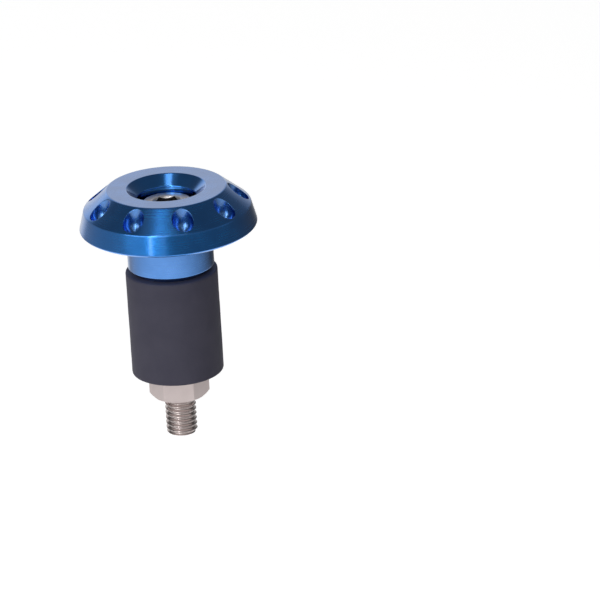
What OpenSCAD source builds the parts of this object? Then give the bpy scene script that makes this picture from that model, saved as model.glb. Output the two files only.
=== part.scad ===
// Handlebar end weight: a turned and anodised cap with nine ball-nosed scoops
// in its cone, a rubber sleeve that grips inside the bar, and the screw and
// nut that squeeze the sleeve until it swells.
//
// Millimetres. +Z runs along the plug's axis, out of the bar. Z = 0 is the
// shoulder plane, where the cap's underside meets the end of the bar.

/* [Cap head] */
// Largest diameter, at the lower edge of the rim band
cap_d = 33.7; // [30:0.1:40]
// Height of the head above the shoulder plane
cap_h = 7.85; // [7:0.05:10]
// Height of the rim band
rim_h = 4.05; // [2.5:0.05:4.5]
// How far the rim band leans in by its top, on the radius
rim_lean = 0.95; // [0.4:0.05:2]
// Chamfer under the lower edge of the rim band
rim_foot = 0.4; // [0.1:0.05:0.6]
// Diameter of the flat top face
face_d = 22.6; // [19:0.2:24]
// Width of the broken edges on the head
edge_break = 0.2; // [0.1:0.05:0.4]

/* [Recess in the top face] */
// Diameter of the cone where it opens in the top face
recess_d = 15.1; // [13:0.1:17]
// Depth of the cone, down to the counterbore
recess_depth = 1.9; // [1:0.1:2.4]
// How deep the top of the screw head lies below the top face
head_inset = 2.8; // [2.5:0.1:3.2]

/* [Scoops] */
// Number of scoops round the cone
scoop_count = 9; // [5:1:12]
// Diameter of the ball-nosed cutter
scoop_d = 4; // [2.6:0.05:4.2]
// Radius of the circle that the scoops lie on
scoop_pitch_r = 13.6; // [13.2:0.1:13.8]
// How far the centre of the ball sinks below the face of the cone
scoop_sink = 0.9; // [0.4:0.1:1.2]
// Turn of the first scoop from the front of the cap, in degrees
scoop_turn = 11.5; // [0:0.5:40]

/* [Neck] */
// Diameter of the neck, which passes into the bar
neck_d = 16.4; // [14:0.1:17]
// Length of the neck below the shoulder plane
neck_len = 8.6; // [6:0.1:14]
// Chamfer at the end of the neck
neck_chamfer = 1; // [0.4:0.1:1.4]

/* [Rubber sleeve] */
// Outside diameter, before the screw is tightened
sleeve_d = 17.5; // [17:0.1:18.5]
// Length of the sleeve
sleeve_len = 20.6; // [16:0.2:24]
// Radius of the moulded edges at both ends
sleeve_edge_r = 0.4; // [0.2:0.05:0.8]
// Clearance round the screw inside the sleeve, on the radius
sleeve_gap = 0.25; // [0.1:0.05:0.5]

/* [Screw] */
// Major diameter of the thread
screw_d = 6; // [5:1:6]
// Length under the head
screw_len = 41; // [38:1:50]
// Diameter of the head
head_d = 10; // [9.5:0.1:10.2]
// Height of the head
head_h = 6; // [4:0.1:6.2]
// Rounding of the head's upper edge
head_edge_r = 0.6; // [0.3:0.1:0.9]
// Hexagon socket, across its flats
socket_af = 5; // [4:0.5:5]
// Depth of the socket's flats
socket_depth = 3; // [2:0.1:3.2]
// Chamfer round the socket's mouth
socket_chamfer = 0.35; // [0.2:0.05:0.5]
// Chamfer at the thread's tip
tip_chamfer = 0.35; // [0.2:0.05:0.9]
// Clearance round the screw inside the neck, on the radius
bore_gap = 0.2; // [0.1:0.05:0.4]
// Clearance round the head inside the counterbore, on the radius
head_gap = 0.5; // [0.3:0.1:0.7]

/* [Nut] */
// Hexagon, across its flats
nut_af = 10; // [9:0.5:10]
// Height of the nut
nut_h = 5.1; // [4:0.1:5.5]
// Diameter of the flat land that the corners' chamfers leave
nut_land_d = 9.5; // [8.8:0.1:9.8]
// Chamfer at both mouths of the nut's bore
nut_mouth = 0.4; // [0.2:0.05:0.6]
// Turn of one corner from the front, in degrees
nut_turn = 28; // [0:1:59]
// Clearance between the screw's crests and the nut, on the radius
thread_gap = 0.05; // [0.02:0.01:0.1]

/* [Hidden] */
$fn = 96;
eps = 0.01;
// How far a cutter runs past the face that it opens
overrun = 1;

// The turned outline of the cap
cap_r = cap_d / 2;
rim_top_r = cap_r - rim_lean;
face_r = face_d / 2;
neck_r = neck_d / 2;
cone_slope = (cap_h - rim_h) / (rim_top_r - face_r);

// Where the screw, the sleeve and the nut sit along the axis
head_top_z = cap_h - head_inset;
seat_z = head_top_z - head_h;
neck_end_z = -neck_len;
sleeve_end_z = neck_end_z - sleeve_len;
nut_end_z = sleeve_end_z - nut_h;
tip_z = seat_z - screw_len;

// Bores
counterbore_d = head_d + 2 * head_gap;
cap_bore_d = screw_d + 2 * bore_gap;
sleeve_bore_d = screw_d + 2 * sleeve_gap;
nut_bore_d = screw_d + 2 * thread_gap;

// Across the corners of a hexagon, from its flats
function corners(af) = af / cos(30);

// Height of the cone's face at a radius
function cone_z(r) = cap_h - (r - face_r) * cone_slope;

// Outline of the cap, turned about Z: underside, rim band, cone, top face,
// and down the middle to the neck's chamfered end
module cap_outline() {
    polygon([
        [0, cap_h],
        [face_r - edge_break, cap_h],
        [face_r + edge_break, cone_z(face_r + edge_break)],
        [rim_top_r - edge_break, cone_z(rim_top_r - edge_break)],
        [rim_top_r, rim_h - edge_break],
        [cap_r, rim_foot],
        [cap_r - rim_foot, 0],
        [neck_r, 0],
        [neck_r, neck_end_z + neck_chamfer],
        [neck_r - neck_chamfer, neck_end_z],
        [0, neck_end_z]
    ]);
}

// One scoop: a ball-nosed cutter plunged straight down into the cone
module scoop() {
    ball_z = cone_z(scoop_pitch_r) - scoop_sink;
    translate([scoop_pitch_r, 0, ball_z]) {
        sphere(d = scoop_d);
        cylinder(h = cap_h, d = scoop_d);
    }
}

// The ring of scoops, counted from the front of the cap
module scoops() {
    for (i = [0 : scoop_count - 1])
        rotate([0, 0, -90 + scoop_turn + i * 360 / scoop_count])
            scoop();
}

// The recess: an open cone, then the counterbore that takes the head
module recess() {
    cone_end_z = cap_h - recess_depth;
    translate([0, 0, cone_end_z])
        cylinder(h = recess_depth, d1 = counterbore_d, d2 = recess_d);
    translate([0, 0, cap_h - eps])
        cylinder(h = overrun, d = recess_d);
    translate([0, 0, seat_z])
        cylinder(h = cone_end_z - seat_z + eps, d = counterbore_d);
}

// The cap: head and neck turned from one bar
module cap() {
    color("royalblue")
        difference() {
            rotate_extrude()
                cap_outline();
            scoops();
            recess();
            translate([0, 0, neck_end_z - overrun])
                cylinder(h = neck_len + cap_h, d = cap_bore_d);
        }
}

// The sleeve: a moulded rubber tube with softened edges, seated on the neck's
// end and on the nut
module rubber_sleeve() {
    outer_r = sleeve_d / 2;
    inner_r = sleeve_bore_d / 2;
    wall = outer_r - inner_r;
    color("dimgray")
        translate([0, 0, sleeve_end_z])
            rotate_extrude()
                union() {
                    translate([inner_r, 0])
                        square([wall - sleeve_edge_r, sleeve_len]);
                    translate([inner_r, sleeve_edge_r])
                        square([wall, sleeve_len - 2 * sleeve_edge_r]);
                    for (z = [sleeve_edge_r, sleeve_len - sleeve_edge_r])
                        translate([outer_r - sleeve_edge_r, z])
                            circle(r = sleeve_edge_r);
                }
}

// The screw's head: a cylinder with a rounded upper edge
module screw_head() {
    head_r = head_d / 2;
    rotate_extrude()
        union() {
            square([head_r - head_edge_r, head_h]);
            square([head_r, head_h - head_edge_r]);
            translate([head_r - head_edge_r, head_h - head_edge_r])
                circle(r = head_edge_r);
        }
}

// The hexagon socket: flats, a chamfered mouth and a drilled point below
module socket() {
    drill_d = socket_af;
    point_h = drill_d / 2 * tan(30);
    mouth_d = socket_af + 2 * socket_chamfer;
    floor_z = head_h - socket_depth;
    translate([0, 0, floor_z])
        cylinder(h = socket_depth + overrun, d = corners(socket_af), $fn = 6);
    translate([0, 0, head_h - socket_chamfer])
        cylinder(h = socket_chamfer + eps, d1 = socket_af, d2 = mouth_d + 2 * eps);
    translate([0, 0, floor_z - point_h])
        cylinder(h = point_h + eps, d1 = 0, d2 = drill_d);
}

// The screw, head up, with its shank at the thread's major diameter
module socket_screw() {
    color("silver")
        translate([0, 0, seat_z])
            difference() {
                union() {
                    screw_head();
                    translate([0, 0, tip_chamfer - screw_len])
                        cylinder(h = screw_len - tip_chamfer + eps, d = screw_d);
                    translate([0, 0, -screw_len])
                        cylinder(h = tip_chamfer + eps,
                                 d1 = screw_d - 2 * tip_chamfer, d2 = screw_d);
                }
                socket();
            }
}

// The nut: a hexagon whose corners are turned off at 30 degrees on both faces
module nut() {
    corner_r = corners(nut_af) / 2;
    land_r = nut_land_d / 2;
    drop = (corner_r - land_r) * tan(30);
    bore_r = nut_bore_d / 2;
    color("lightgray")
        translate([0, 0, nut_end_z])
            rotate([0, 0, -90 + nut_turn])
                difference() {
                    intersection() {
                        cylinder(h = nut_h, r = corner_r, $fn = 6);
                        rotate_extrude()
                            polygon([
                                [0, 0],
                                [land_r, 0],
                                [corner_r, drop],
                                [corner_r, nut_h - drop],
                                [land_r, nut_h],
                                [0, nut_h]
                            ]);
                    }
                    translate([0, 0, -overrun])
                        cylinder(h = nut_h + 2 * overrun, r = bore_r);
                    for (side = [0, 1])
                        translate([0, 0, side * nut_h])
                            mirror([0, 0, side])
                                translate([0, 0, -eps])
                                    cylinder(h = nut_mouth + eps,
                                             r1 = bore_r + nut_mouth + eps, r2 = bore_r);
                }
}

cap();
rubber_sleeve();
socket_screw();
nut();
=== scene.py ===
# %% [markdown]
# # A handlebar end weight
#
# This lesson dresses a small machined assembly: an anodised aluminium cap with
# nine scoops, a rubber sleeve, a socket screw and a nut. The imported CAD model
# fixes where each piece sits and how big it is. Blender's job is the finish, so
# each piece is rebuilt as a dense, smooth surface in the same place.

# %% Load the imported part
import math

import bmesh
import bpy
import numpy as np
from mathutils import Matrix, Vector


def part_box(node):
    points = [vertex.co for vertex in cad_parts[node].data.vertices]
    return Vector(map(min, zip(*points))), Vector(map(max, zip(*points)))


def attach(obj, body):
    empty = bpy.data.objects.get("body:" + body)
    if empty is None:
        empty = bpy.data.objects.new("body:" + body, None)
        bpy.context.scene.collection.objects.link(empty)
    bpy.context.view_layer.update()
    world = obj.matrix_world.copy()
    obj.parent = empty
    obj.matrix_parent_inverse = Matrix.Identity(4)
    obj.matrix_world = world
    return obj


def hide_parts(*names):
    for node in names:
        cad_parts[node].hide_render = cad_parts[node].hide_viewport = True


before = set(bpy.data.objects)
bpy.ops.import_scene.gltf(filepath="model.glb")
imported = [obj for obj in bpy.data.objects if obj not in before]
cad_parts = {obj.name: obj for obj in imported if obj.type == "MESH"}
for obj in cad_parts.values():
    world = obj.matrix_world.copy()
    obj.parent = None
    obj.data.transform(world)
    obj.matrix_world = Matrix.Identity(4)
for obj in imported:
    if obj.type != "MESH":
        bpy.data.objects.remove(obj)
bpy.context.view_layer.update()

# %% [markdown]
# ## Sizes
#
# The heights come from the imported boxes, so a piece always meets the one it
# seats on. The sizes below describe what a box can't, such as the width of the
# top face. They are in millimetres, because that is how the object is drawn,
# and MM turns them into Blender's metres.

# %% Sizes, from the boxes and the drawing
MM = 0.001
TURN = 2 * math.pi


def box_mm(node):
    """Lowest and highest corner of a CAD node, in millimetres."""
    low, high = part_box(node)
    return np.array(low) / MM, np.array(high) / MM


cap_low, cap_high = box_mm("cap")
sleeve_low, sleeve_high = box_mm("rubber_sleeve")
screw_low, screw_high = box_mm("socket_screw")
nut_low, nut_high = box_mm("nut")

cap_r, top_z, neck_end_z = 16.85, cap_high[2], cap_low[2]
rim_top_r, rim_top_z, rim_foot = 15.9, 4.05, 0.4
face_r = 11.3
edge_break = 0.2
recess_r, recess_depth = 7.55, 1.9
bore_r, counterbore_r = 3.2, 5.5
neck_r, neck_chamfer = 8.2, 1.0

scoop_count, scoop_r = 9, 2.0
scoop_pitch_r, scoop_sink = 13.6, 0.9
scoop_turn = math.radians(-90 + 11.5)

sleeve_r, sleeve_bore_r, sleeve_edge_r = 8.75, 3.25, 0.4

head_r, head_z = 5.0, screw_high[2]
head_h, head_edge_r = 6.0, 0.6
seat_z = head_z - head_h
screw_r, tip_z, tip_r = 3.0, screw_low[2], 2.65
socket_af, socket_depth, socket_chamfer = 5.0, 3.0, 0.35

nut_af, nut_land_r = 10.0, 4.75
nut_bore_r, nut_mouth = 3.05, 0.4
nut_turn = math.radians(-90 + 28)

print(f"cap {neck_end_z:.2f} to {top_z:.2f}, screw {tip_z:.2f} to {head_z:.2f} mm")

# %% [markdown]
# ## Surfaces from rings
#
# Everything here was turned on a lathe, moulded in a round mould or cut with a
# round tool, so one idea makes every surface: a grid whose rows are rings about
# an axis. Rows start on the top at the middle, go out, down the outside and
# back in underneath. Quads joined in that order have their faces outwards.

# %% Grids of points and the quads between them
def rings(radius, height, angle):
    """Points of a grid: row j, column i is at the radius and height of the row,
    turned about Z by the angle of the column. x = radius cos(angle),
    y = radius sin(angle), z = height."""
    radius, height, angle = np.broadcast_arrays(radius, height, angle)
    return np.stack([radius * np.cos(angle), radius * np.sin(angle), height], axis=-1)


def quads(rows, columns, close_rows=False, seam_drop=0):
    """Corners of the quads of a grid. Column i joins column i + 1, and the last
    column joins the first, seam_drop rows further on, as a helix needs. With
    close_rows the last row joins the first."""
    row, column = np.indices((rows if close_rows else rows - 1, columns))
    beside = (column + 1) % columns
    drop = np.where(beside == 0, seam_drop, 0)
    corners = np.stack([
        row * columns + column,
        (row + 1) * columns + column,
        (row + 1 + drop) * columns + beside,
        (row + drop) * columns + beside,
    ], axis=-1).reshape(-1, 4)
    if close_rows:
        corners %= rows * columns
    return corners[corners.max(axis=1) < rows * columns]


# %% [markdown]
# A drawn corner is never perfectly sharp on metal or rubber. The light that a
# softened edge catches is what makes it look real, so every corner of a profile
# becomes a short curve, with a support point each side that keeps the flats
# flat when the surface is shaded smoothly.

# %% Profiles with softened corners
def softened(corners, steps=6, support=0.05, closed=True):
    """A profile of (radius, height) points through corners given as (radius,
    height, reach). Each corner P becomes the quadratic curve from A to B, where
    A and B lie reach away from P towards its neighbours:
    (1-t)^2 A + 2t(1-t) P + t^2 B, with t from 0 to 1 in the given steps. A
    support point lies a little further on at both ends of the curve."""
    tiny = 1e-9  # keeps the ends of an open profile from dividing by zero
    table = np.array(corners, float)
    point, reach = table[:, :2], table[:, 2:]
    to_before = np.roll(point, 1, axis=0) - point
    to_after = np.roll(point, -1, axis=0) - point
    if not closed:
        to_before[0], to_after[-1] = 0, 0
    to_before /= np.maximum(np.linalg.norm(to_before, axis=1, keepdims=True), tiny)
    to_after /= np.maximum(np.linalg.norm(to_after, axis=1, keepdims=True), tiny)
    a, b = point + reach * to_before, point + reach * to_after
    t = np.linspace(0, 1, steps)[None, :, None]
    curve = (1 - t) ** 2 * a[:, None] + 2 * t * (1 - t) * point[:, None] + t**2 * b[:, None]
    more = np.where(reach > 0, support, 0)
    outer = [(a + more * to_before)[:, None], curve, (b + more * to_after)[:, None]]
    return np.concatenate(outer, axis=1).reshape(-1, 2)


# %% Putting the arrays into a mesh
MERGE_MM = 0.0004


def piece(name, parts, sharp_degrees=40):
    """One closed object from several grids of points (in millimetres), their
    quads, and which of the object's finishes each quad has. Points that meet are
    merged, which also closes poles and seams."""
    points = [p.reshape(-1, 3) for p, _, _ in parts]
    starts = np.cumsum([0] + [len(p) for p in points[:-1]])
    faces = np.concatenate([q + s for (_, q, _), s in zip(parts, starts)])
    finishes = np.concatenate([np.broadcast_to(f, len(q)) for _, q, f in parts])
    mesh = bpy.data.meshes.new(name)
    mesh.from_pydata((np.concatenate(points) * MM).tolist(), [], faces.tolist())
    mesh.polygons.foreach_set("material_index", finishes.astype(np.int32))
    work = bmesh.new()
    work.from_mesh(mesh)
    bmesh.ops.remove_doubles(work, verts=work.verts, dist=MERGE_MM * MM)
    open_edges = sum(not e.is_manifold for e in work.edges)
    volume = work.calc_volume(signed=True) / MM**3
    work.to_mesh(mesh)
    work.free()
    mesh.shade_smooth()
    mesh.set_sharp_from_angle(angle=math.radians(sharp_degrees))
    made = bpy.data.objects.new(name, mesh)
    bpy.context.scene.collection.objects.link(made)
    print(f"{name}: {len(mesh.vertices)} points, {len(mesh.polygons)} faces, "
          f"{open_edges} open edges, {volume:.1f} mm3")
    return made


# %% [markdown]
# ## The cap
#
# The head and neck are turned from one bar, then a ball-nosed cutter is plunged
# straight down into the cone nine times. Cutting with a Boolean would leave
# ragged triangles where the light is most telling. Instead the cone is built in
# nine equal sectors, and each sector is a grid that runs outwards from the
# bottom of its scoop: up the ball, up the cutter's wall, over a softened lip,
# and across the cone to the edges of the sector.

# %% The cutter and the cone, as formulas
cone_slope = (top_z - rim_top_z) / (rim_top_r - face_r)
ball_z = top_z - (scoop_pitch_r - face_r) * cone_slope - scoop_sink
print(f"cone falls {cone_slope:.3f} mm for each mm out, balls centred at {ball_z:.2f} mm")


def cone_height(r):
    """Height of the cone at a distance from the axis."""
    return top_z - (r - face_r) * cone_slope


def from_axis(reach, side):
    """Distance from the cap's axis of a point that lies reach from the middle
    of a scoop, in the direction side (0 points away from the axis)."""
    return np.hypot(scoop_pitch_r + reach * np.cos(side), reach * np.sin(side))


def cutter(path):
    """Reach and height of the ball-nosed cutter's surface, by the length of the
    path up it from its lowest point: a quarter circle, then a straight wall."""
    quarter = scoop_r * math.pi / 2
    swing = np.minimum(path, quarter) / scoop_r
    rise = np.maximum(path - quarter, 0)
    return scoop_r * np.sin(swing), ball_z - scoop_r * np.cos(swing) + rise


def lip_path(side):
    """Length of the path up the cutter where it leaves the cone, found by
    halving an interval for every direction at once."""
    low = np.full_like(side, scoop_r * 0.5)
    high = np.full_like(side, scoop_r * 4)
    for _ in range(40):
        middle = (low + high) / 2
        reach, height = cutter(middle)
        under = height < cone_height(from_axis(reach, side))
        low, high = np.where(under, middle, low), np.where(under, high, middle)
    return low


# %% One sector of the cone, with its scoop
TURNED, MILLED, GROUND, BORED, NECK = range(5)  # the cap's finishes
arc_steps, side_steps, cutter_rows = 32, 10, 26
milled_rows = cutter_rows + 3  # as far as the middle of the lip
half_sector = math.pi / scoop_count
inner_r, outer_r = face_r + 0.17, rim_top_r - 0.22
lip = 0.08
lip_shares = np.linspace(0, 1, 7)[1:, None, None]
cone_shares = np.array([0.06, 0.2, 0.4, 0.6, 0.8, 0.94, 1])[:, None]


def sector_border():
    """Turn and radius of the points round a sector, from the middle of its
    outer arc and anticlockwise: outer arc, side, inner arc, side, outer arc."""
    half = np.linspace(0, half_sector, arc_steps // 2 + 1)[:-1]
    side = np.linspace(0, 1, side_steps + 1)[:-1]
    arc = np.linspace(half_sector, -half_sector, arc_steps + 1)[:-1]
    turn = [half, np.full(side_steps, half_sector), arc,
            np.full(side_steps, -half_sector), half - half_sector]
    radius = [np.full(half.size, outer_r), outer_r + (inner_r - outer_r) * side,
              np.full(arc.size, inner_r), inner_r + (outer_r - inner_r) * side,
              np.full(half.size, outer_r)]
    return np.concatenate(turn), np.concatenate(radius)


def scoop_sector():
    """Grid of one sector. Rows go from the bottom of the scoop to its lip, over
    the lip in a quadratic curve, and across the cone to the border. On the cone,
    turn and radius go from the lip's to the border's by cone_shares."""
    turn, radius = sector_border()
    side = np.arctan2(radius * np.sin(turn), radius * np.cos(turn) - scoop_pitch_r)
    toward = np.stack([np.cos(side), np.sin(side)], axis=-1)

    def at(reach, height):
        flat = scoop_pitch_r * np.array([1, 0]) + reach[..., None] * toward
        return np.concatenate([flat, height[..., None]], axis=-1)

    top = lip_path(side)
    wall = at(*cutter(np.linspace(0, 1, cutter_rows)[:, None] * (top - lip)))
    edge_reach, edge_height = cutter(top)
    out_reach = edge_reach + lip
    start_r = from_axis(out_reach, side)
    out = at(out_reach, cone_height(start_r))
    t = lip_shares
    over = (1 - t) ** 2 * wall[-1] + 2 * t * (1 - t) * at(edge_reach, edge_height) + t**2 * out
    start_turn = np.arctan2(out[:, 1], out[:, 0])
    cone_r = start_r + (radius - start_r) * cone_shares
    cone_turn = start_turn + (turn - start_turn) * cone_shares
    cone = rings(cone_r, cone_height(cone_r), cone_turn)
    return np.concatenate([wall, over, cone])


def turned(points, angle):
    """The same points turned about Z."""
    c, s = math.cos(angle), math.sin(angle)
    return points @ np.array([[c, s, 0], [-s, c, 0], [0, 0, 1]])


sector = scoop_sector()
sector_quads = quads(*sector.shape[:2])
sector_row = np.arange(len(sector_quads)) // sector.shape[1]
sector_finish = np.where(sector_row < milled_rows, MILLED, TURNED)
cap_parts = [(turned(sector, scoop_turn + k * TURN / scoop_count), sector_quads, sector_finish)
             for k in range(scoop_count)]
print("rows and columns of a sector:", sector.shape[:2])

# %% [markdown]
# The rest of the cap is plain turning: from the foot of the cone round the rim,
# in under the head, down the neck, up the bore, and out across the top face.
# Its first and last rings fall on the outer and inner arcs of the sectors. Each
# quad takes its finish from the place of its middle on the profile.

# %% The turned part of the cap
soft = 0.12
cap_profile = softened([
    (outer_r, cone_height(outer_r), 0),
    (rim_top_r, rim_top_z, edge_break),
    (cap_r, rim_foot, soft),
    (cap_r - rim_foot, 0, soft),
    (neck_r, 0, soft),
    (neck_r, neck_end_z + neck_chamfer, soft),
    (neck_r - neck_chamfer, neck_end_z, soft),
    (bore_r, neck_end_z, soft),
    (bore_r, seat_z, soft),
    (counterbore_r, seat_z, soft),
    (counterbore_r, top_z - recess_depth, 2 * soft),
    (recess_r, top_z, soft),
    (face_r, top_z, edge_break),
    (inner_r, cone_height(inner_r), 0),
], closed=False, support=0.02)
arc_step = TURN / (scoop_count * arc_steps)
arc_angle = scoop_turn - half_sector + np.arange(scoop_count * arc_steps) * arc_step
cap_turned = rings(cap_profile[:, :1], cap_profile[:, 1:], arc_angle[None, :])

middles = (cap_profile[1:] + cap_profile[:-1]) / 2
quad_r, quad_z = np.repeat(middles, arc_angle.size, axis=0).T
face_from, neck_from = top_z - 0.02, -0.05
on_face = (quad_z > face_from) & (quad_r > recess_r)
in_recess = (quad_z > seat_z) & (quad_r < recess_r)
on_neck = (quad_z < neck_from) & (quad_r > bore_r)
turned_finish = np.select([on_face, in_recess, on_neck], [GROUND, BORED, NECK], TURNED)
cap_parts.append((cap_turned, quads(*cap_turned.shape[:2]), turned_finish))
cap = piece("cap_body", cap_parts)

# %% [markdown]
# ## The rubber sleeve
#
# A moulded tube with rounded ends. Real rubber is never quite true, so its skin
# wanders by a few hundredths of a millimetre, which breaks up the reflection.

# %% The sleeve
sleeve_columns, wall_rows = 192, 60
bore_edge_r = 0.15
wall_inset = 0.6  # the wall's own rows stay clear of the rounded ends
wander_mm = 0.015


def sleeve_grid():
    """Rings of the sleeve. The outer wall is pulled in by two slow waves, one
    winding round the sleeve and one along it, by wander_mm on average and at
    most twice that. Towards the bore the waves fade out."""
    top, foot = sleeve_high[2], sleeve_low[2]
    profile = softened([
        (sleeve_bore_r, top, bore_edge_r),
        (sleeve_r, top, sleeve_edge_r),
        (sleeve_r, foot, sleeve_edge_r),
        (sleeve_bore_r, foot, bore_edge_r),
    ], steps=8)
    # The upper edge's curve ends on the wall, and its support point follows.
    wall_starts = int(np.argmax(profile[:, 0] > sleeve_r - 1e-6)) + 2
    along = np.linspace(top - wall_inset, foot + wall_inset, wall_rows)
    wall = np.stack([np.full(along.size, sleeve_r), along], axis=1)
    profile = np.concatenate([profile[:wall_starts], wall, profile[wall_starts:]])
    r, z = profile[:, :1], profile[:, 1:]
    around = np.arange(sleeve_columns)[None, :] * TURN / sleeve_columns
    waves = np.sin(3 * around + 0.35 * z) + np.sin(0.9 * z + 1.3)
    wander = wander_mm * (2 + waves) / 2
    share = np.clip(1 - (sleeve_r - r) / sleeve_edge_r, 0, 1)
    return rings(r - wander * share, z, around)


sleeve_points = sleeve_grid()
sleeve_quads = quads(*sleeve_points.shape[:2], close_rows=True)
sleeve = piece("sleeve_body", [(sleeve_points, sleeve_quads, 0)])

# %% [markdown]
# ## The screw
#
# One grid holds the head, from the bottom of the hexagon socket outwards and
# down. A second holds the thread. Its rows follow the helix, so the crests stay
# crisp. Where rows run past either end they are held there, with the profile
# that the helix has at that end, so they fall together and are merged. A third
# grid closes the tip.

# %% The screw's head and socket
columns = 240
angle = np.arange(columns) * TURN / columns
knurl_teeth, knurl_depth = 60, 0.11
pitch, thread_depth, turn_rows = 1.0, 0.54, 20
thread_top_z = nut_high[2] + 0.9


def hexagon(across_flats, at):
    """Distance from the axis to the wall of a hexagon with a corner at angle 0."""
    return across_flats / 2 / np.cos(at % (TURN / 6) - TURN / 12)


def stacked(rows):
    """One grid from rows given as (radius, height), where each may be a number,
    a value for each column, or a stack of such rows."""
    radius = [np.broadcast_to(r, np.broadcast_shapes(np.shape(r), np.shape(z), (1, columns)))
              for r, z in rows]
    height = [np.broadcast_to(z, r.shape) for (_, z), r in zip(rows, radius)]
    return rings(np.concatenate(radius), np.concatenate(height), angle[None, :])


def head_grid():
    """Rings of the screw's head and shank. The socket's rings take the
    hexagon's radius. Fine knurled teeth run round the side of the head, where
    the radius is less by knurl_depth (1 - cos(knurl_teeth angle)) / 2."""
    wall = hexagon(socket_af, angle)
    mouth = np.maximum(socket_af / 2 + socket_chamfer, wall)
    mouth_z = head_z - (mouth - wall)
    floor_z = head_z - socket_depth
    point_z = floor_z - socket_af / 2 * math.tan(math.radians(30))
    edge = np.linspace(0, math.pi / 2, 8)[:, None]
    shoulder = head_z - head_edge_r
    teeth = knurl_depth * (0.5 - 0.5 * np.cos(knurl_teeth * angle))
    under = softened([
        (head_r, seat_z + 0.25, 0),
        (head_r - 0.1, seat_z, 0.05),
        (screw_r, seat_z, 0.1),
        (screw_r, thread_top_z, 0),
    ], closed=False, support=0.03)
    return stacked([
        # the drilled point, the floor and the flats
        (0, point_z),
        (socket_af / 2 * 0.999, floor_z),
        (wall, floor_z),
        (wall, floor_z + 0.06),
        (wall, mouth_z - 0.04),
        # the chamfered mouth and the flat top
        (wall + 0.01, mouth_z),
        (mouth + 0.01, head_z - 0.01),
        (mouth + 0.03, head_z),
        (mouth + 0.12, head_z),
        # the rounded edge, the knurled side, and the underside and shank
        (head_r - head_edge_r * (1 - np.sin(edge)), shoulder + head_edge_r * np.cos(edge)),
        (head_r, shoulder - 0.02),
        (head_r - teeth, shoulder - 0.2),
        (head_r - teeth, seat_z + 0.5),
        (under[:, :1], under[:, 1:]),
    ])


# %% The thread
# One pitch of the profile, as places and how much of the depth is cut there: a
# flat crest, a flank, a flat root and a flank.
thread_places, thread_cuts = [0, 1 / 16, 6 / 16, 10 / 16, 15 / 16, 1], [0, 0, 1, 1, 0, 0]
thread_shifts = np.linspace(-0.1, 0.1, 7)
fade_turns = 1.2


def thread_grid():
    """Rings that follow the helix: each point drops by one pitch for each turn,
    and is held where it reaches either end. The profile is softened by
    averaging it with itself a little to each side. It fades in over the first
    fade_turns, and a cone at the tip cuts off the crests."""
    length = thread_top_z - tip_z
    rows = int(length / pitch + 3) * turn_rows
    row, turn = np.arange(rows)[:, None], angle[None, :] / TURN
    along = np.clip(pitch * (row / turn_rows + turn - 1), 0, length)
    phase = along / pitch - turn
    cuts = [np.interp((phase + shift) % 1, thread_places, thread_cuts)
            for shift in thread_shifts]
    cut = sum(cuts) / len(cuts)
    fade = np.clip(along / (fade_turns * pitch), 0, 1)
    r = screw_r - thread_depth * cut * fade**2 * (3 - 2 * fade)
    z = thread_top_z - along
    return rings(np.minimum(r, tip_r + (z - tip_z)), z, angle[None, :])


# %% The screw, from its three grids
SHANK, HEAD, SOCKET = range(3)  # the screw's finishes
socket_rows, head_rows = 4, 10  # where the socket and the flat top end in the head's grid
head_points = head_grid()
head_quads = quads(*head_points.shape[:2])
head_row = np.arange(len(head_quads)) // columns
# The socket's quads take a painted shade, and the head's top a painted highlight.
head_finish = np.select([head_row < socket_rows, head_row < head_rows], [SOCKET, HEAD], SHANK)
thread_points = thread_grid()
end_r = np.hypot(thread_points[-1, :, 0], thread_points[-1, :, 1])
# The end is very slightly hollow, as a cut bar is.
tip_points = stacked([(end_r, tip_z), (end_r - 0.25, tip_z + 0.05), (0, tip_z + 0.07)])
screw = piece("screw_body", [
    (head_points, head_quads, head_finish),
    (thread_points, quads(*thread_points.shape[:2], seam_drop=turn_rows), SHANK),
    (tip_points, quads(*tip_points.shape[:2]), SHANK),
], sharp_degrees=42)

# %% [markdown]
# ## The nut
#
# A hexagon whose corners are turned off at thirty degrees leaves a curved edge
# on each flat. The grid gets that curve for nothing: where the hexagon reaches
# past the round land, its edge drops by the overshoot times tan(30).

# %% The nut
crowding = 0.9  # 0 spaces the columns evenly, 1 stacks them at the corners
corner_power = 110  # a higher one makes sharper corners


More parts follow.
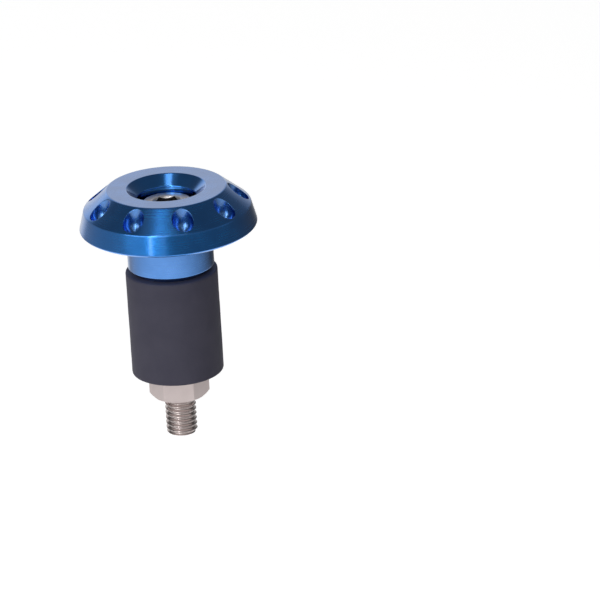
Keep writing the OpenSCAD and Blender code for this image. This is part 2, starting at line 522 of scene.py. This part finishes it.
def nut_grid():
    """Closed rings of the nut. Columns crowd towards the corners, which are
    rounded because the radius is nut_af / 2 (sum of c^p)^(-1/p), where c is the
    cosine of the turn from each flat that isn't behind, and p is corner_power."""
    part = np.arange(columns // 6) / (columns // 6)
    sixth = TURN / 6 * (part - crowding / TURN * np.sin(TURN * part))
    corner = np.arange(6)[:, None] * TURN / 6
    at = (corner + sixth).ravel()
    shares = np.maximum(np.cos(at - corner - TURN / 12), 0) ** corner_power
    wall = nut_af / 2 * shares.sum(axis=0) ** (-1 / corner_power)
    low, high = nut_low[2], nut_high[2]
    drop = (wall - nut_land_r) * math.tan(math.radians(30))
    lead = nut_bore_r + nut_mouth
    # Each face has its mouth, its land, the chamfered corners and a side.
    rows = [
        (lead, high), (lead + 0.04, high), (nut_land_r - 0.06, high),
        (nut_land_r, high - 0.005), (wall - 0.03, high - drop + 0.01),
        (wall, high - drop - 0.03), (wall, high - drop - 0.12),
        (wall, low + drop + 0.12), (wall, low + drop + 0.03),
        (wall - 0.03, low + drop - 0.01), (nut_land_r, low + 0.005),
        (nut_land_r - 0.06, low), (lead + 0.04, low), (lead, low),
        (nut_bore_r, low + nut_mouth), (nut_bore_r, high - nut_mouth),
    ]
    radius = np.stack([np.broadcast_to(r, columns) for r, _ in rows])
    height = np.stack([np.broadcast_to(z, columns) for _, z in rows])
    return rings(radius, height, nut_turn + at[None, :])


nut_points = nut_grid()
nut_quads = quads(*nut_points.shape[:2], close_rows=True)
nut = piece("nut_body", [(nut_points, nut_quads, 0)], sharp_degrees=30)

# %% [markdown]
# ## Standing for the CAD nodes
#
# Each dressed piece takes the place of one CAD node and rides on the same body.

# %% Bodies, nodes and slots
for dressed, stands_for, slot in [
    (cap, "cap", "anodised_cap"),
    (sleeve, "rubber_sleeve", "sleeve_rubber"),
    (screw, "socket_screw", "screw_steel"),
    (nut, "nut", "nut_steel"),
]:
    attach(dressed, "root")
    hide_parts(stands_for)

# %% [markdown]
# ## Finishes
#
# Two effects are shared. Turned metal has fine rings round the axis, which are
# too small to see one by one but spread a reflection across them, and wider
# bands that differ a little. Anodised, moulded and plated surfaces have a grain
# and a slow mottle. Each effect is a node group that puts out plain values, and
# every material uses them at its own strength.

# %% A short way to write nodes
def node(tree, kind, inputs=None, **settings):
    """Add a shader node, set its properties, and fill or link its inputs."""
    made = tree.nodes.new("ShaderNode" + kind)
    for key, value in settings.items():
        setattr(made, key, value)
    for key, value in (inputs or {}).items():
        if isinstance(value, bpy.types.NodeSocket):
            tree.links.new(value, made.inputs[key])
        else:
            made.inputs[key].default_value = value
    return made


def maths(tree, operation, *values):
    """The result of a Math node on numbers or sockets."""
    return node(tree, "Math", dict(enumerate(values)), operation=operation).outputs[0]


def combined(tree, operation, first, *others):
    """Several values taken together by a Math node for each one more."""
    for value in others:
        first = maths(tree, operation, first, value)
    return first


def length_across(tree, x, y):
    """The length of a vector as seen along Z, sqrt(x^2 + y^2)."""
    return maths(tree, "SQRT", maths(tree, "ADD", maths(tree, "MULTIPLY", x, x),
                                     maths(tree, "MULTIPLY", y, y)))


def between(tree, value, low, high):
    """A value from 0 to 1 brought to the range from low to high."""
    return node(tree, "MapRange", {"Value": value, "To Min": low, "To Max": high}).outputs[0]


def ramp(tree, value, start, end):
    """A smooth step from 0 at start to 1 at end, which may be the lower one."""
    return node(tree, "MapRange", {"Value": value, "From Min": start, "From Max": end},
                interpolation_type="SMOOTHSTEP").outputs[0]


def blend(tree, factor, first, second):
    """A colour between two others."""
    return node(tree, "Mix", {0: factor, 6: first, 7: second}, data_type="RGBA").outputs[2]


def group(name, inputs, outputs):
    """An empty node group with named float inputs and outputs."""
    tree = bpy.data.node_groups.new(name, "ShaderNodeTree")
    for title, value in inputs.items():
        socket = tree.interface.new_socket(title, in_out="INPUT", socket_type="NodeSocketFloat")
        socket.default_value = value
    for title in outputs:
        tree.interface.new_socket(title, in_out="OUTPUT", socket_type="NodeSocketFloat")
    start, end = tree.nodes.new("NodeGroupInput"), tree.nodes.new("NodeGroupOutput")
    return tree, start.outputs, end.inputs


def use(tree, shared, **inputs):
    """Place a node group in a material, with its own values. An underscore
    stands for each space in an input's name."""
    made = tree.nodes.new("ShaderNodeGroup")
    made.node_tree = shared
    for key, value in inputs.items():
        made.inputs[key.replace("_", " ")].default_value = value
    return made.outputs


# %% Rings left by the lathe
def make_turned_rings():
    """Noise over the distance from the axis and the height, so it runs in rings
    round the axis. A little of the direction round the axis is mixed in, so
    that no ring is the same all the way. Rings has the fine ones, and Bands has
    wider ones, band_share as many to the millimetre."""
    band_share = 0.12
    tree, given, result = group("turned_rings", {"Rings per mm": 8.0}, ["Rings", "Bands"])
    place = node(tree, "TexCoord").outputs["Object"]
    x, y, z = node(tree, "SeparateXYZ", {0: place}).outputs
    away = length_across(tree, x, y)
    safe = maths(tree, "MAXIMUM", away, 0.1 * MM)
    round_x, round_y = maths(tree, "DIVIDE", x, safe), maths(tree, "DIVIDE", y, safe)
    per_metre = maths(tree, "MULTIPLY", given["Rings per mm"], 1 / MM)
    for title, share, slow, detail in [("Rings", 1.0, 0.35, 3.0), ("Bands", band_share, 0.5, 2.0)]:
        scale = maths(tree, "MULTIPLY", per_metre, share)
        spot = node(tree, "CombineXYZ", {
            0: maths(tree, "MULTIPLY", away, scale),
            1: maths(tree, "MULTIPLY", z, scale),
            2: maths(tree, "MULTIPLY", round_x, slow),
        }).outputs[0]
        noise = node(tree, "TexNoise", noise_dimensions="4D")
        noise.inputs["Scale"].default_value = 1.0
        noise.inputs["Detail"].default_value = detail
        tree.links.new(spot, noise.inputs["Vector"])
        tree.links.new(maths(tree, "MULTIPLY", round_y, slow), noise.inputs["W"])
        tree.links.new(noise.outputs[0], result[title])
    return tree


# %% Grain and mottle
def make_grain():
    """A fine noise for the touch of a surface and a slow one for the patches
    that handling and plating leave."""
    tree, given, result = group("grain", {"Grain per mm": 6.0, "Mottle per mm": 0.3},
                                ["Grain", "Mottle"])
    place = node(tree, "TexCoord").outputs["Object"]
    for title, source, detail in [("Grain", "Grain per mm", 3.0), ("Mottle", "Mottle per mm", 4.0)]:
        scale = maths(tree, "MULTIPLY", given[source], 1 / MM)
        noise = node(tree, "TexNoise", {"Vector": place, "Scale": scale, "Detail": detail})
        tree.links.new(noise.outputs[0], result[title])
    return tree


turned_rings, grain = make_turned_rings(), make_grain()
print("node groups:", [g.name for g in bpy.data.node_groups])

# %% [markdown]
# A finished material is one Principled BSDF. The helper below starts it, and
# each finish then says only what is special about it.

# %% A material and its shader
def finish(name, **values):
    """A new material with one Principled BSDF. The values go on the shader's own
    sockets, with an underscore for each space in a socket's name."""
    made = bpy.data.materials.new(name)
    made.use_nodes = True
    tree = made.node_tree
    tree.nodes.clear()
    shader = node(tree, "BsdfPrincipled", {k.replace("_", " "): v for k, v in values.items()})
    output = tree.nodes.new("ShaderNodeOutputMaterial")
    tree.links.new(shader.outputs[0], output.inputs["Surface"])
    return made, tree, shader.inputs


def bump(tree, shader, height, depth_mm, strength):
    """Feed a height from 0 to 1 to the shader's normal, as a real depth."""
    made = node(tree, "Bump", {"Height": height, "Strength": strength,
                               "Distance": depth_mm * MM})
    tree.links.new(made.outputs[0], shader["Normal"])


# %% [markdown]
# ### Anodised aluminium
#
# Anodising grows a clear, hard skin on the aluminium and dyes it, so the metal
# shines through a colour with a smooth colourless gloss on top. That is a
# metallic base with a coat. The turning spreads the light across its rings,
# which is what the anisotropy and its radial tangent are for.
#
# The tools leave five versions of it. The cone and the rim are turned. The
# scoops were milled, so their rings run round each scoop. They and the neck are
# painted a paler blue, a painted reflection of the bright floor that they mirror.
# The top face was ground, so its rings count for less. It is seen so low that the
# clear skin pales it, over a deeper blue. The recess was bored, which leaves it
# smoother.

# %% Which way the tool marks run
def round_the_cap(tree):
    """The direction in which the lathe's rings run."""
    return node(tree, "Tangent", direction_type="RADIAL", axis="Z").outputs[0]


def round_the_scoop(tree):
    """The direction in which the cutter's rings run: the turn of the nearest
    scoop is the turn of the place, snapped to ninths, and gives its middle."""
    place = node(tree, "TexCoord").outputs["Object"]
    x, y, _ = node(tree, "SeparateXYZ", {0: place}).outputs
    turn = maths(tree, "ADD", maths(tree, "ARCTAN2", y, x), half_sector - scoop_turn)
    nearest = maths(tree, "ADD", maths(tree, "SNAP", turn, 2 * half_sector), scoop_turn)
    middle_x = maths(tree, "MULTIPLY", maths(tree, "COSINE", nearest), scoop_pitch_r * MM)
    middle_y = maths(tree, "MULTIPLY", maths(tree, "SINE", nearest), scoop_pitch_r * MM)
    across = node(tree, "CombineXYZ", {0: maths(tree, "SUBTRACT", middle_y, y),
                                       1: maths(tree, "SUBTRACT", x, middle_x)}).outputs[0]
    return node(tree, "VectorMath", {0: across}, operation="NORMALIZE").outputs[0]


# %% Anodised blue
def anodised_blue(name, ring_direction, anisotropy, ring_depth_mm, rough, deep, light):
    """Metallic blue with marks in its height, roughness and colour. The colour
    runs from deep to light by 0.4 of the bands and 0.6 of the mottle, and the
    roughness strays from rough by a fifth for the rings and 0.15 for the mottle."""
    made, tree, shader = finish(name, Metallic=1.0, Anisotropic=anisotropy,
                                Anisotropic_Rotation=0.25, Coat_Weight=1.0,
                                Coat_Roughness=0.13, Coat_IOR=1.55)
    marks = use(tree, turned_rings, Rings_per_mm=9.0)
    skin = use(tree, grain, Grain_per_mm=5.0, Mottle_per_mm=0.25)
    tree.links.new(ring_direction(tree), shader["Tangent"])
    patches = maths(tree, "MULTIPLY", ramp(tree, skin["Mottle"], 0.3, 0.7), 0.6)
    share = maths(tree, "MULTIPLY_ADD", marks["Bands"], 0.4, patches)
    tree.links.new(blend(tree, share, deep, light), shader["Base Color"])
    spread = maths(tree, "ADD", between(tree, marks["Rings"], -0.2 * rough, 0.2 * rough),
                   between(tree, skin["Mottle"], 0.85 * rough, 1.15 * rough))
    tree.links.new(spread, shader["Roughness"])
    bump(tree, shader, marks["Rings"], ring_depth_mm, 0.5)
    return made


full = (0.010, 0.180, 0.59, 1), (0.018, 0.245, 0.75, 1)
# A lighter blue for the scoops and the neck: a painted reflection of the bright floor that they
# mirror.
pale_painted_reflection = (0.052, 0.210, 0.57, 1), (0.084, 0.280, 0.72, 1)
dark = (0.012, 0.112, 0.36, 1), (0.024, 0.172, 0.53, 1)
for name, direction, anisotropy, ring_depth_mm, rough, colours in [
    # in the order of TURNED, MILLED, GROUND, BORED and NECK
    ("anodised_turned", round_the_cap, 0.42, 0.003, 0.26, full),
    ("anodised_milled", round_the_scoop, 0.8, 0.002, 0.26, pale_painted_reflection),
    ("anodised_ground", round_the_cap, 0.2, 0.003, 0.26, dark),
    ("anodised_bored", round_the_cap, 0.42, 0.002, 0.18, full),
    ("anodised_neck", round_the_cap, 0.42, 0.003, 0.26, pale_painted_reflection),
]:
    made = anodised_blue(name, direction, anisotropy, ring_depth_mm, rough, *colours)
    cap.data.materials.append(made)
print("cap:", [m.name for m in cap.data.materials])

# %% [markdown]
# ### Rubber and steel
#
# The others need one effect each. Its slow part shifts the colour between two,
# and its fine part shifts the roughness and gives a little relief. The rubber is
# dark grey with a dry grain. The screw is dark, shiny steel with a slightly
# brown cast. Its head was turned, which left it with rings, and the top of the
# head is painted much brighter than the steel, a painted highlight for the light
# it catches. Its socket is painted nearly black, a painted shade for the hollow.
# The nut is pale and faintly pink, dulled by its plating.

# %% Rubber and steels
def marked(name, effect, sizes, colours, roughness, relief=None, **values):
    """A material marked by one effect, whose outputs are a fine and a slow one.
    Colours and roughness are the two ends of their ranges, and relief is a depth
    in millimetres and a strength."""
    made, tree, shader = finish(name, **values)
    fine, slow = use(tree, effect, **sizes)
    tree.links.new(blend(tree, slow, *colours), shader["Base Color"])
    tree.links.new(between(tree, fine, *roughness), shader["Roughness"])
    if relief:
        bump(tree, shader, fine, *relief)
    return made


sleeve.data.materials.append(marked(
    "sleeve_rubber", grain, {"Grain_per_mm": 7.0, "Mottle_per_mm": 0.22},
    colours=((0.062, 0.059, 0.089, 1), (0.094, 0.090, 0.127, 1)),
    roughness=(0.5, 0.74), relief=(0.02, 0.6), Specular_IOR_Level=0.25))
screw.data.materials.append(marked(
    "screw_steel", grain, {"Grain_per_mm": 6.0, "Mottle_per_mm": 0.35},
    colours=((0.43, 0.37, 0.36, 1), (0.62, 0.56, 0.545, 1)),
    roughness=(0.08, 0.22), relief=(0.004, 0.5), Metallic=1.0))
# The head's top is painted much brighter than the shank's steel: a painted highlight.
screw.data.materials.append(marked(
    "head_steel_painted_highlight", turned_rings, {"Rings_per_mm": 7.0},
    colours=((0.74, 0.70, 0.69, 1), (0.90, 0.86, 0.85, 1)),
    roughness=(0.25, 0.45), relief=(0.02, 0.6), Metallic=1.0))
# The socket's colours are painted nearly black: a painted shade for the hollow socket.
screw.data.materials.append(marked(
    "socket_painted_shade", grain, {"Grain_per_mm": 6.0, "Mottle_per_mm": 0.8},
    colours=((0.10, 0.085, 0.08, 1), (0.26, 0.23, 0.22, 1)),
    roughness=(0.2, 0.36), Metallic=1.0))
nut.data.materials.append(marked(
    "nut_steel", grain, {"Grain_per_mm": 5.0, "Mottle_per_mm": 0.4},
    colours=((0.56, 0.485, 0.475, 1), (0.66, 0.58, 0.57, 1)),
    roughness=(0.42, 0.58), relief=(0.008, 0.5), Metallic=1.0))
for dressed in (sleeve, screw, nut):
    print(f"{dressed.name}:", [m.name for m in dressed.data.materials])

# %% [markdown]
# ## The studio
#
# Turned metal shows its surroundings more than its own colour, so the studio is
# built from what each face reflects. The top face mirrors the backdrop, which
# is pale. The neck and the nut mirror the floor, which is brightest at the front
# left, where the lamps are, and even close by the object. The cone and the recess
# mirror the ceiling, which is dark, so that the reflection of one tall lamp stands
# out on them. The rim leans back a little, and takes some light from a dim band
# low on the walls.

# %% How bright the studio is in each direction
FRONT_LEFT = (-0.42, -0.91)
HORIZON = (0.05, -0.3)  # the floor fades in from the first height to the second
CLOSE_BY = (-0.38, -0.6)  # and is even below the second of these


def make_studio():
    """Brightness by direction from the object, given as X, Y and Z of a unit
    vector: the highest of five values. The floor is 0.62 + 0.62 c, where c is
    the cosine of the turn from the front left, or 1 close by the object. Behind
    the object it is pale, and falls off at the right. A dim wall stands at the
    left, and a dim band runs low on the walls, except behind. Anywhere else
    there is a faint glow, weaker below."""
    tree, given, result = group("studio", {"X": 0.0, "Y": 0.0, "Z": 0.0}, ["Level"])
    x, y, z = given["X"], given["Y"], given["Z"]

    toward = maths(tree, "ADD", maths(tree, "MULTIPLY", x, FRONT_LEFT[0]),
                   maths(tree, "MULTIPLY", y, FRONT_LEFT[1]))
    across = maths(tree, "MAXIMUM", length_across(tree, x, y), 0.05)
    close_by, further_off = ramp(tree, z, *CLOSE_BY), ramp(tree, z, *reversed(CLOSE_BY))
    cosine = maths(tree, "DIVIDE", toward, across)
    evened = maths(tree, "MULTIPLY_ADD", cosine, further_off, close_by)
    below = maths(tree, "MULTIPLY", maths(tree, "MULTIPLY_ADD", evened, 0.62, 0.62),
                  ramp(tree, z, *HORIZON))

    rightward = maths(tree, "MULTIPLY_ADD", maths(tree, "MINIMUM", z, 0), -0.8, x)
    falling = maths(tree, "MULTIPLY_ADD", ramp(tree, rightward, 0.1, 0.7), -0.7, 0.8)
    behind = maths(tree, "MULTIPLY", ramp(tree, y, 0.52, 0.86), falling)

    wall = combined(tree, "MULTIPLY", ramp(tree, x, -0.2, -0.8), 0.35, ramp(tree, z, 0.5, 0.2))
    band = combined(tree, "MULTIPLY", ramp(tree, z, 0.14, 0.3), 0.35,
                    ramp(tree, z, 0.62, 0.46), ramp(tree, y, 0.35, 0))
    least = between(tree, ramp(tree, z, -0.3, 0), 0.05, 0.13)
    level = combined(tree, "MAXIMUM", below, behind, wall, band, least)
    tree.links.new(level, result["Level"])
    return tree


studio = make_studio()
print("studio:", len(studio.nodes), "nodes")


def studio_level(tree, direction):
    """The studio's brightness in the direction of a vector socket."""
    made = tree.nodes.new("ShaderNodeGroup")
    made.node_tree = studio
    for socket, part in zip(made.inputs, node(tree, "SeparateXYZ", {0: direction}).outputs):
        tree.links.new(part, socket)
    return made.outputs[0]


# %% The floor
floor_z, floor_size = tip_z - 40, 4000
floor_mesh = bpy.data.meshes.new("floor")
floor_mesh.from_pydata([(x * floor_size * MM, y * floor_size * MM, floor_z * MM)
                        for x, y in ((-1, -1), (1, -1), (1, 1), (-1, 1))], [], [(0, 1, 2, 3)])
floor = bpy.data.objects.new("floor", floor_mesh)
bpy.context.scene.collection.objects.link(floor)
print(f"floor at {floor_z:.1f} mm")


def floor_white():
    """Matt white. The camera sees it lifted to full white, with the object's
    shadow on it. Metal mirrors it at the brightness of the studio."""
    lift = 0.72
    made, tree, shader = finish("floor_white", Base_Color=(0.86, 0.86, 0.86, 1), Roughness=0.9)
    path = node(tree, "LightPath").outputs
    shader["Emission Color"].default_value = (1, 1, 1, 1)
    tree.links.new(maths(tree, "MULTIPLY", path["Is Camera Ray"], lift), shader["Emission Strength"])
    place = node(tree, "TexCoord").outputs["Object"]
    direction = node(tree, "VectorMath", {0: place}, operation="NORMALIZE").outputs[0]
    glow = node(tree, "Emission", {"Strength": studio_level(tree, direction)}).outputs[0]
    mirrored = maths(tree, "MAXIMUM", path["Is Glossy Ray"], path["Is Transmission Ray"])
    output = tree.nodes["Material Output"]
    plain = output.inputs["Surface"].links[0].from_socket
    mixed = node(tree, "MixShader", {0: mirrored, 1: plain, 2: glow}).outputs[0]
    tree.links.new(mixed, output.inputs["Surface"])
    return made


floor_mesh.materials.append(floor_white())


# %% [markdown]
# The lamps are rectangles that face the object. A tall strip at the front left
# makes the bright streak down the cone and the rim, and a small lamp high up the
# one in the recess. A wide panel spreads a glow round the streak, and lights the
# rubber and the steel. Three weak panels add glints in the scoops, a soft light
# on the cone, and a sheen on the top face.

# %% Lamps
def lamp(name, azimuth, elevation, distance, width, length, radiance):
    """A rectangular lamp that faces the object. Azimuth 0 is the camera's side
    and grows to the right. The power is the radiance times pi times the area."""
    data = bpy.data.lights.new(name, "AREA")
    data.shape, data.size, data.size_y = "RECTANGLE", width, length
    data.energy = radiance * math.pi * width * length
    made = bpy.data.objects.new(name, data)
    a, e = math.radians(azimuth), math.radians(elevation)
    away = Vector((math.sin(a) * math.cos(e), -math.cos(a) * math.cos(e), math.sin(e)))
    made.location = away * distance
    made.rotation_euler = away.to_track_quat("Z", "Y").to_euler()
    bpy.context.scene.collection.objects.link(made)
    print(f"{name}: {data.energy:.3f} W")


lamp("key_strip", -24.5, 35.5, 0.6, width=0.05, length=0.65, radiance=5.0)
lamp("key_top", -20, 72, 0.6, width=0.14, length=0.06, radiance=3.0)
lamp("front_panel", -32, 26, 0.7, width=0.72, length=0.4, radiance=1.5)
lamp("high_panel", 6, 50, 0.7, width=0.4, length=0.22, radiance=0.6)
lamp("top_panel", -45, 80, 0.7, width=0.3, length=0.3, radiance=0.15)
lamp("back_panel", -168, 18, 0.8, width=0.8, length=0.26, radiance=0.15)


# %% The sky
def sky():
    """The studio's walls and ceiling, and white where the camera looks at them."""
    world = bpy.data.worlds.new("studio_sky")
    bpy.context.scene.world = world
    world.use_nodes = True
    tree = world.node_tree
    tree.nodes.clear()
    level = studio_level(tree, node(tree, "TexCoord").outputs["Generated"])
    seen = node(tree, "LightPath").outputs["Is Camera Ray"]
    shade = node(tree, "Background", {"Strength": maths(tree, "MAXIMUM", level, seen)})
    shade.inputs["Color"].default_value = (1, 1, 1, 1)
    output = tree.nodes.new("ShaderNodeOutputWorld")
    tree.links.new(shade.outputs[0], output.inputs["Surface"])


sky()

# %% [markdown]
# ## The camera
#
# The view was measured from the ellipses of the top face and the rim: the line
# of sight comes from straight in front, twenty degrees up, and the picture is
# rolled by four degrees. The camera is a long lens a metre away, aimed so that
# the middle of the top face falls on its own pixel.

# %% The camera
frame_px = 600
top_px = (165.9, 187.0)  # the middle of the top face, from the upper left
px_per_mm = 5.3105
sight_elevation, sight_roll = math.radians(20.37), math.radians(3.85)
sight_distance = 1054.7  # millimetres

focal_px = px_per_mm * sight_distance
sin_e, cos_e = math.sin(sight_elevation), math.cos(sight_elevation)
sin_r, cos_r = math.sin(sight_roll), math.cos(sight_roll)
right, up, back = Vector((1, 0, 0)), Vector((0, sin_e, cos_e)), Vector((0, -cos_e, sin_e))
rolled_right, rolled_up = cos_r * right - sin_r * up, sin_r * right + cos_r * up
axes = Matrix((rolled_right, rolled_up, back)).transposed()
aim = Vector((top_px[0] - frame_px / 2, frame_px / 2 - top_px[1], -focal_px)).normalized()
swing = aim.rotation_difference(Vector((0, 0, -1))).to_matrix()

camera_data = bpy.data.cameras.new("camera")
camera_data.sensor_width = 36
camera_data.lens = camera_data.sensor_width * focal_px / frame_px
camera = bpy.data.objects.new("camera", camera_data)
camera.location = (Vector((0, 0, top_z)) + sight_distance * back) * MM
camera.rotation_euler = (axes @ swing).to_euler()
bpy.context.scene.collection.objects.link(camera)
bpy.context.scene.camera = camera
bpy.context.scene.view_settings.view_transform = "Standard"
print(f"lens {camera_data.lens:.1f} mm")
